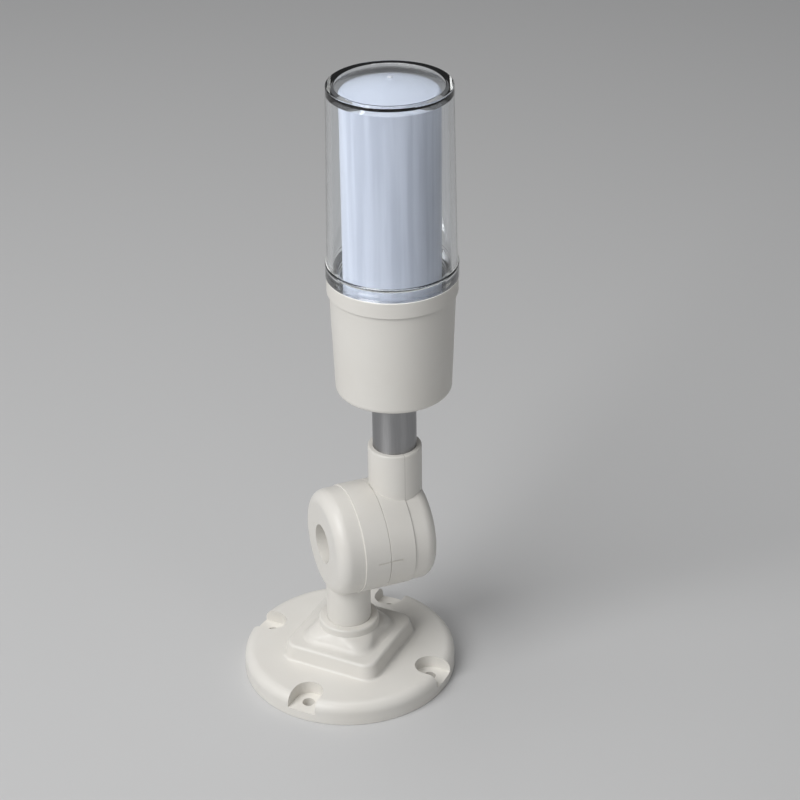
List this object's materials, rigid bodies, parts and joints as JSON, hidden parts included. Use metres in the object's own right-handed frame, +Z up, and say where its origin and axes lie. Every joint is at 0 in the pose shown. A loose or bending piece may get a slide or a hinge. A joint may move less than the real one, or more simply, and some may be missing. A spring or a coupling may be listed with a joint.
{
  "type": "stack light",
  "caption": "Compact signal tower light: clear lens over an opal diffuser on a tapered housing, short pole, folding elbow with a clamp bolt, and a round screw-down foot.",
  "frame": {"origin": "centre of the screw circle on the foot's underside", "axes": "+Z up along the post; +X along the elbow's turning axis, from the post towards the lamp; -Y is the front"},
  "size_m": [0.0952, 0.0916, 0.2704],
  "materials": {
    "white_abs": "moulded ABS, fine satin skin",
    "clear_lens": "clear polycarbonate, polished",
    "opal": "opal polycarbonate, satin",
    "aluminium": "satin drawn tube",
    "steel": "zinc plated",
    "friction_fibre": "cork and rubber sheet",
    "seal_rubber": "pale silicone",
    "board": "glass epoxy with green mask",
    "carrier": "white moulded nylon",
    "led": "encapsulated chips",
    "component": "moulded terminals",
    "can": "sleeved cans"
  },
  "bodies": {
    "foot": {"foot": "white_abs", "lower_arm": "white_abs", "post_washer": "steel", "post_nut": "steel", "friction_disc": "friction_fibre", "joint_bolt": "steel", "bolt_washer": "steel", "spring_washer": "steel"},
    "lamp": {"upper_arm": "white_abs", "joint_nut": "steel", "pole": "aluminium", "pole_screw": "steel", "pole_washer": "steel", "pole_nut": "steel", "housing": "white_abs", "driver_board": "board", "board_screws": "steel", "terminal_block": "component", "capacitors": "can", "led_carrier": "carrier", "led_headers": "component", "led_chips": "led", "led_board_1": "board", "led_board_2": "board", "led_board_3": "board", "diffuser": "opal"},
    "lens": {"lens": "clear_lens", "lens_seal": "seal_rubber"}
  },
  "joints": [
    {"name": "fold", "type": "hinge", "parent": "foot", "child": "lamp", "pos_m": [0.0112, 0, 0.0642], "axis": [1, 0, 0], "range_deg": [-90, 90]},
    {"name": "lens_twist", "type": "hinge", "parent": "lamp", "child": "lens", "pos_m": [0.0224, 0, 0.1862], "axis": [0, 0, 1], "range_deg": [0, 25]}
  ]
}
